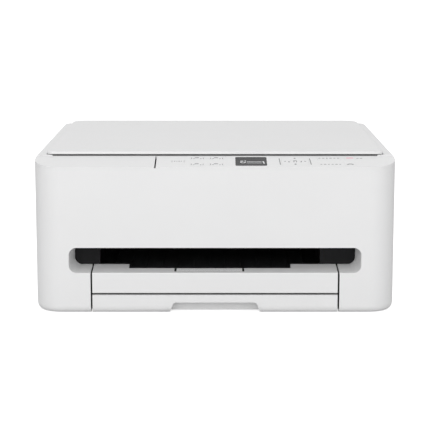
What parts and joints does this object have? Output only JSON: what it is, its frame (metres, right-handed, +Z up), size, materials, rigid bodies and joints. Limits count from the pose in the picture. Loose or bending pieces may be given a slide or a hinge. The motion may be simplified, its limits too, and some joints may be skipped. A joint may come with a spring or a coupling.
{
  "type": "multifunction printer",
  "caption": "Desktop inkjet printer with a flatbed scanner under a hinged lid, a sloped key strip, an output tray and a front paper cassette.",
  "frame": {"origin": "centre of the footprint, on the surface that the feet stand on", "axes": "+X towards the printer's right as its user sees it, +Y from the front to the back, +Z up"},
  "size_m": [0.376, 0.346, 0.165],
  "materials": {
    "white_casing": "fine texture",
    "white_smooth": "satin",
    "white_key": "satin",
    "black_lining": "fine texture",
    "black_mechanism": "satin",
    "dark_tray": "fine texture",
    "grey_inner": "fine texture",
    "natural_gear": "satin",
    "steel_sheet": "zinc plated",
    "steel_shaft": "ground",
    "rubber_black": "matt",
    "rubber_grey": "matt",
    "glass_clear": "polished",
    "window_smoked": "polished",
    "circuit_green": "satin",
    "pad_white": "matt",
    "ink_black": "satin",
    "ink_colour": "satin"
  },
  "bodies": {
    "printer_base": {"lower_shell": "white_casing", "base_pan": "grey_inner", "rubber_feet": "rubber_grey", "slot_lining": "black_lining", "chassis_frame": "steel_sheet", "carriage_rail": "steel_sheet", "platen": "black_mechanism", "carriage_belt": "rubber_black", "carriage_motor": "steel_sheet", "feed_motor": "steel_sheet", "main_board": "circuit_green", "power_supply": "black_mechanism", "bay_walls": "grey_inner", "turn_guide": "black_mechanism", "unit_hinges": "steel_shaft"},
    "tray_drawer": {"output_tray": "white_smooth", "output_tray_floor": "black_lining"},
    "stopper_flap": {"paper_stopper": "white_smooth"},
    "cassette": {"cassette_front": "white_smooth", "cassette_tray": "dark_tray"},
    "left_guide": {"paper_guide_left": "dark_tray"},
    "right_guide": {"paper_guide_right": "dark_tray"},
    "guide_gear": {"guide_pinion": "natural_gear"},
    "end_guide": {"rear_guide": "dark_tray"},
    "feed_shaft": {"feed_roller": "rubber_black"},
    "exit_shaft": {"exit_roller": "rubber_black"},
    "idler": {"idler_gear": "natural_gear"},
    "pinion": {"motor_pinion": "natural_gear"},
    "print_carriage": {"carriage": "black_mechanism", "cartridge_colour": "ink_colour", "cartridge_black": "ink_black"},
    "latch_colour": {"cartridge_latch_colour": "dark_tray"},
    "latch_black": {"cartridge_latch_black": "dark_tray"},
    "drive_pulley": {"belt_drive_pulley": "natural_gear"},
    "tension_pulley": {"belt_tension_pulley": "natural_gear"},
    "cap_sled": {"cap_unit": "rubber_black"},
    "pickup_swing": {"pickup_arm": "black_mechanism"},
    "pickup_wheel": {"pickup_roller": "rubber_black"},
    "scanner_unit": {"scanner_tub": "grey_inner", "scanner_cover": "white_casing", "control_panel": "white_smooth", "lcd_window": "window_smoked", "key_board": "circuit_green", "platen_glass": "glass_clear", "scan_rod": "steel_shaft", "lid_hinges": "grey_inner"},
    "scan_bar": {"scan_head": "black_mechanism"},
    "lid": {"lid_cover": "white_casing", "lid_pad": "pad_white"},
    "jam_cover": {"rear_cover": "white_casing"},
    "power_key_cap": {"power_key": "white_key"},
    "function_key_1_cap": {"function_key_1": "white_key"},
    "function_key_2_cap": {"function_key_2": "white_key"},
    "function_key_3_cap": {"function_key_3": "white_key"},
    "function_key_4_cap": {"function_key_4": "white_key"},
    "navigation_key_cap": {"navigation_key": "white_key"},
    "ok_key_cap": {"ok_key": "white_key"},
    "start_black_key_cap": {"start_black_key": "white_key"},
    "start_colour_key_cap": {"start_colour_key": "white_key"},
    "stop_key_cap": {"stop_key": "white_key"}
  },
  "joints": [
    {"name": "output_tray_slide", "type": "slide", "parent": "printer_base", "child": "tray_drawer", "axis": [0, -1, 0], "range_m": [0, 0.11]},
    {"name": "stopper_tilt", "type": "hinge", "parent": "tray_drawer", "child": "stopper_flap", "pos_m": [0, -0.1664, 0.0422], "axis": [1, 0, 0], "range_deg": [0, 95]},
    {"name": "cassette_slide", "type": "slide", "parent": "printer_base", "child": "cassette", "axis": [0, -1, 0], "range_m": [0, 0.28]},
    {"name": "left_guide_slide", "type": "slide", "parent": "cassette", "child": "left_guide", "axis": [1, 0, 0], "range_m": [0, 0.053]},
    {"name": "right_guide_slide", "type": "slide", "parent": "cassette", "child": "right_guide", "axis": [-1, 0, 0], "range_m": [0, 0.053]},
    {"name": "guide_pinion_spin", "type": "hinge", "parent": "cassette", "child": "guide_gear", "pos_m": [-0.006, -0.023, 0.0088], "axis": [0, 0, 1], "range_deg": [0, 385]},
    {"name": "rear_guide_slide", "type": "slide", "parent": "cassette", "child": "end_guide", "axis": [0, 1, 0], "range_m": [0, 0.08]},
    {"name": "feed_shaft_spin", "type": "hinge", "parent": "printer_base", "child": "feed_shaft", "pos_m": [0, 0.027, 0.047], "axis": [1, 0, 0], "continuous": true},
    {"name": "exit_shaft_spin", "type": "hinge", "parent": "printer_base", "child": "exit_shaft", "pos_m": [0, -0.045, 0.047], "axis": [1, 0, 0], "continuous": true},
    {"name": "idler_spin", "type": "hinge", "parent": "printer_base", "child": "idler", "pos_m": [-0.165, -0.0115, 0.047], "axis": [1, 0, 0], "continuous": true},
    {"name": "motor_pinion_spin", "type": "hinge", "parent": "printer_base", "child": "pinion", "pos_m": [-0.165, 0.053, 0.047], "axis": [1, 0, 0], "continuous": true},
    {"name": "carriage_slide", "type": "slide", "parent": "printer_base", "child": "print_carriage", "axis": [-1, 0, 0], "range_m": [0, 0.256]},
    {"name": "drive_pulley_spin", "type": "hinge", "parent": "printer_base", "child": "drive_pulley", "pos_m": [-0.158, 0.047, 0.102], "axis": [0, 0, 1], "continuous": true},
    {"name": "tension_pulley_spin", "type": "hinge", "parent": "printer_base", "child": "tension_pulley", "pos_m": [0.158, 0.047, 0.102], "axis": [0, 0, 1], "continuous": true},
    {"name": "latch_colour_tip", "type": "hinge", "parent": "print_carriage", "child": "latch_colour", "pos_m": [0.12, 0.0176, 0.1066], "axis": [-1, 0, 0], "range_deg": [0, 13]},
    {"name": "latch_black_tip", "type": "hinge", "parent": "print_carriage", "child": "latch_black", "pos_m": [0.155, 0.0176, 0.1066], "axis": [-1, 0, 0], "range_deg": [0, 13]},
    {"name": "cap_lift", "type": "slide", "parent": "printer_base", "child": "cap_sled", "axis": [0, 0, 1], "range_m": [0, 0.0025]},
    {"name": "pickup_arm_swing", "type": "hinge", "parent": "printer_base", "child": "pickup_swing", "pos_m": [0, 0.075, 0.044], "axis": [-1, 0, 0], "range_deg": [0, 29]},
    {"name": "pickup_roller_spin", "type": "hinge", "parent": "pickup_swing", "child": "pickup_wheel", "pos_m": [-0.006, 0.111, 0.033], "axis": [1, 0, 0], "continuous": true},
    {"name": "scanner_unit_lift", "type": "hinge", "parent": "printer_base", "child": "scanner_unit", "pos_m": [0, 0.167, 0.1505], "axis": [-1, 0, 0], "range_deg": [0, 30]},
    {"name": "scan_bar_slide", "type": "slide", "parent": "scanner_unit", "child": "scan_bar", "axis": [1, 0, 0], "range_m": [0, 0.29]},
    {"name": "lid_hinge", "type": "hinge", "parent": "scanner_unit", "child": "lid", "pos_m": [0, 0.1655, 0.1618], "axis": [-1, 0, 0], "range_deg": [0, 85]},
    {"name": "jam_cover_hinge", "type": "hinge", "parent": "printer_base", "child": "jam_cover", "pos_m": [0, 0.1717, 0.0239], "axis": [-1, 0, 0], "range_deg": [0, 85]},
    {"name": "power_key_press", "type": "slide", "parent": "scanner_unit", "child": "power_key_cap", "axis": [0, 0.1733, -0.9849], "range_m": [0, 0.0007], "stiffness_N_per_m": 300},
    {"name": "function_key_1_press", "type": "slide", "parent": "scanner_unit", "child": "function_key_1_cap", "axis": [0, 0.1733, -0.9849], "range_m": [0, 0.0007], "stiffness_N_per_m": 300},
    {"name": "function_key_2_press", "type": "slide", "parent": "scanner_unit", "child": "function_key_2_cap", "axis": [0, 0.1733, -0.9849], "range_m": [0, 0.0007], "stiffness_N_per_m": 300},
    {"name": "function_key_3_press", "type": "slide", "parent": "scanner_unit", "child": "function_key_3_cap", "axis": [0, 0.1733, -0.9849], "range_m": [0, 0.0007], "stiffness_N_per_m": 300},
    {"name": "function_key_4_press", "type": "slide", "parent": "scanner_unit", "child": "function_key_4_cap", "axis": [0, 0.1733, -0.9849], "range_m": [0, 0.0007], "stiffness_N_per_m": 300},
    {"name": "navigation_key_press", "type": "slide", "parent": "scanner_unit", "child": "navigation_key_cap", "axis": [0, 0.1733, -0.9849], "range_m": [0, 0.0007], "stiffness_N_per_m": 300},
    {"name": "ok_key_press", "type": "slide", "parent": "scanner_unit", "child": "ok_key_cap", "axis": [0, 0.1733, -0.9849], "range_m": [0, 0.0007], "stiffness_N_per_m": 300},
    {"name": "start_black_key_press", "type": "slide", "parent": "scanner_unit", "child": "start_black_key_cap", "axis": [0, 0.1733, -0.9849], "range_m": [0, 0.0007], "stiffness_N_per_m": 300},
    {"name": "start_colour_key_press", "type": "slide", "parent": "scanner_unit", "child": "start_colour_key_cap", "axis": [0, 0.1733, -0.9849], "range_m": [0, 0.0007], "stiffness_N_per_m": 300},
    {"name": "stop_key_press", "type": "slide", "parent": "scanner_unit", "child": "stop_key_cap", "axis": [0, 0.1733, -0.9849], "range_m": [0, 0.0007], "stiffness_N_per_m": 300}
  ],
  "couplings": [
    {"joint": "right_guide_slide", "follows": "left_guide_slide", "ratio": 1},
    {"joint": "guide_pinion_spin", "follows": "left_guide_slide", "rad_per_m": 125},
    {"joint": "idler_spin", "follows": "feed_shaft_spin", "ratio": -1.0811},
    {"joint": "exit_shaft_spin", "follows": "feed_shaft_spin", "ratio": 1.3333},
    {"joint": "motor_pinion_spin", "follows": "feed_shaft_spin", "ratio": -3.3333},
    {"joint": "drive_pulley_spin", "follows": "carriage_slide", "rad_per_m": -153.85},
    {"joint": "tension_pulley_spin", "follows": "carriage_slide", "rad_per_m": -153.85}
  ]
}
